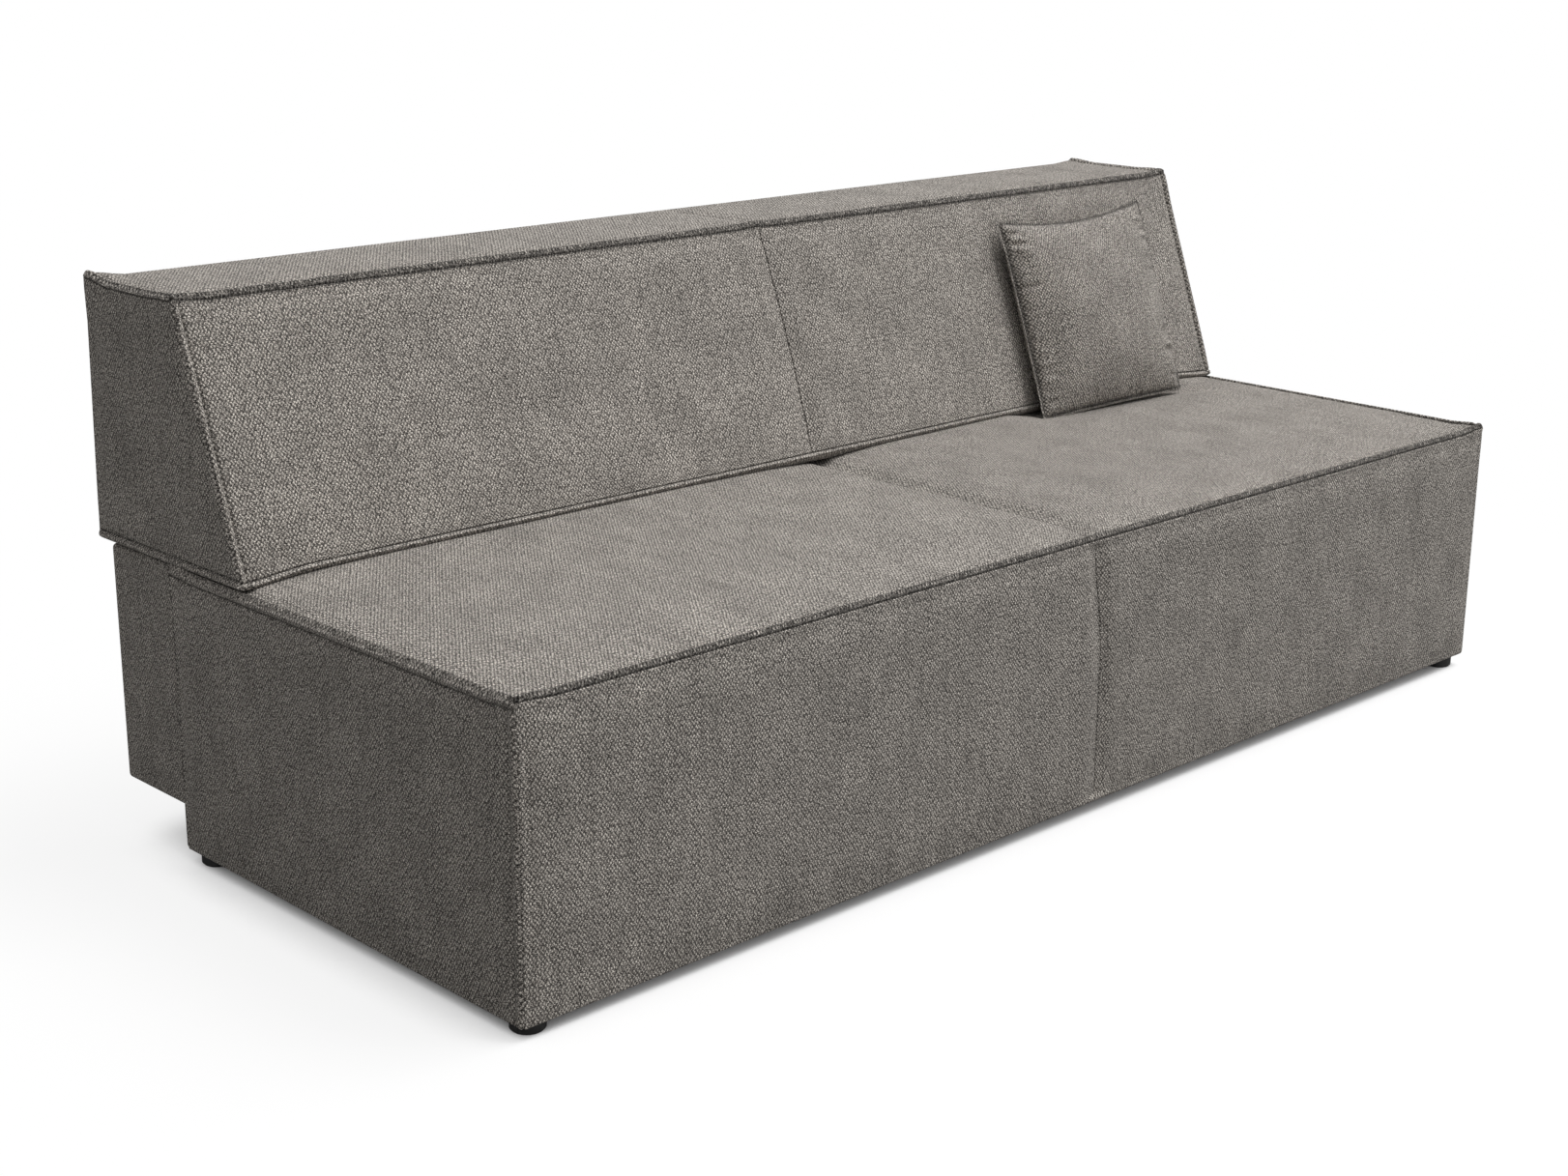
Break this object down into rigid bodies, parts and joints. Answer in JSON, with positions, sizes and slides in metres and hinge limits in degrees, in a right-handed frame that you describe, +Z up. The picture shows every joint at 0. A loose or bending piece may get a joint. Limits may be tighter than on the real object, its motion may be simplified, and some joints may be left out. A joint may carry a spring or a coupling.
{
  "type": "sofa bed",
  "caption": "Armless sofa bed: a full-height seat block, a box behind it and a wedge backrest that folds back on swing arms to lie level with the seat, with a loose scatter cushion.",
  "frame": {"origin": "centre of the bounding box on the floor, with the scatter cushion, the fold fitting and the stand included", "axes": "+X to the right as seen from the front, +Y to the rear, +Z up; the seat front faces -Y"},
  "size_m": [2.2, 1.0028, 0.839],
  "materials": {
    "cover_fabric": "grey-beige chunky woven upholstery fabric with light and dark flecks",
    "lining_black": "black woven lining and webbing",
    "foam": "cut polyurethane foam",
    "felt": "needled felt and wadding",
    "timber": "planed softwood and chipboard",
    "hardboard": "smooth hardboard",
    "black_plastic": "moulded black plastic",
    "rubber_black": "moulded rubber",
    "nylon": "natural nylon",
    "zinc_steel": "zinc-plated steel",
    "black_steel": "black powder coat"
  },
  "bodies": {
    "base": {"seat_front_rail": "timber", "seat_rear_rail": "timber", "seat_side_rails": "timber", "seat_centre_rail": "timber", "seat_webbing": "lining_black", "seat_felt": "felt", "seat_foam_left": "foam", "seat_foam_right": "foam", "seat_wadding": "felt", "seat_cover": "cover_fabric", "seat_dust_cover": "lining_black", "seat_glides": "black_plastic", "glide_screws": "zinc_steel", "box_bottom_board": "timber", "box_front_board": "timber", "box_rear_board": "timber", "box_end_boards": "timber", "box_top_board": "timber", "box_foam": "foam", "box_cover": "cover_fabric", "box_legs": "black_plastic", "leg_studs": "zinc_steel", "join_bolts": "zinc_steel", "join_nuts": "zinc_steel", "base_brackets": "black_steel", "base_bracket_screws": "zinc_steel", "lower_pins": "zinc_steel"},
    "arms": {"swing_arms": "black_steel", "arm_cross_tube": "black_steel", "arm_bushes": "nylon"},
    "backrest": {"back_bottom_board": "timber", "back_rear_board": "timber", "back_ribs": "timber", "back_front_panel": "hardboard", "back_foam_left": "foam", "back_foam_right": "foam", "back_top_foam": "foam", "back_cover": "cover_fabric", "back_plates": "black_steel", "back_lugs": "black_steel", "back_plate_screws": "zinc_steel", "upper_pins": "zinc_steel", "stand_brackets": "black_steel", "stand_bracket_screws": "zinc_steel", "stand_pins": "zinc_steel"},
    "stand": {"stand_legs": "black_steel", "stand_cross_bar": "black_steel", "stand_caps": "rubber_black"},
    "scatter_cushion": {"cushion_cover": "cover_fabric", "cushion_filling": "foam"}
  },
  "joints": [
    {"name": "arm_swing", "type": "hinge", "parent": "base", "child": "arms", "pos_m": [0, 0.4756, 0.24542], "axis": [-1, 0, 0], "range_deg": [0, 146.26]},
    {"name": "back_tilt", "type": "hinge", "parent": "arms", "child": "backrest", "pos_m": [0, 0.4756, 0.435], "axis": [1, 0, 0], "range_deg": [0, 76.35]},
    {"name": "stand_swing", "type": "hinge", "parent": "backrest", "child": "stand", "pos_m": [0, 0.4924, 0.779], "axis": [1, 0, 0], "range_deg": [0, 69.95]},
    {"name": "cushion_lift", "type": "slide", "parent": "base", "child": "scatter_cushion", "axis": [0, 0, 1], "range_m": [0, 0.35]}
  ],
  "couplings": [
    {"joint": "back_tilt", "follows": "arm_swing", "ratio": 0.52186},
    {"joint": "stand_swing", "follows": "arm_swing", "ratio": 0.47814}
  ]
}
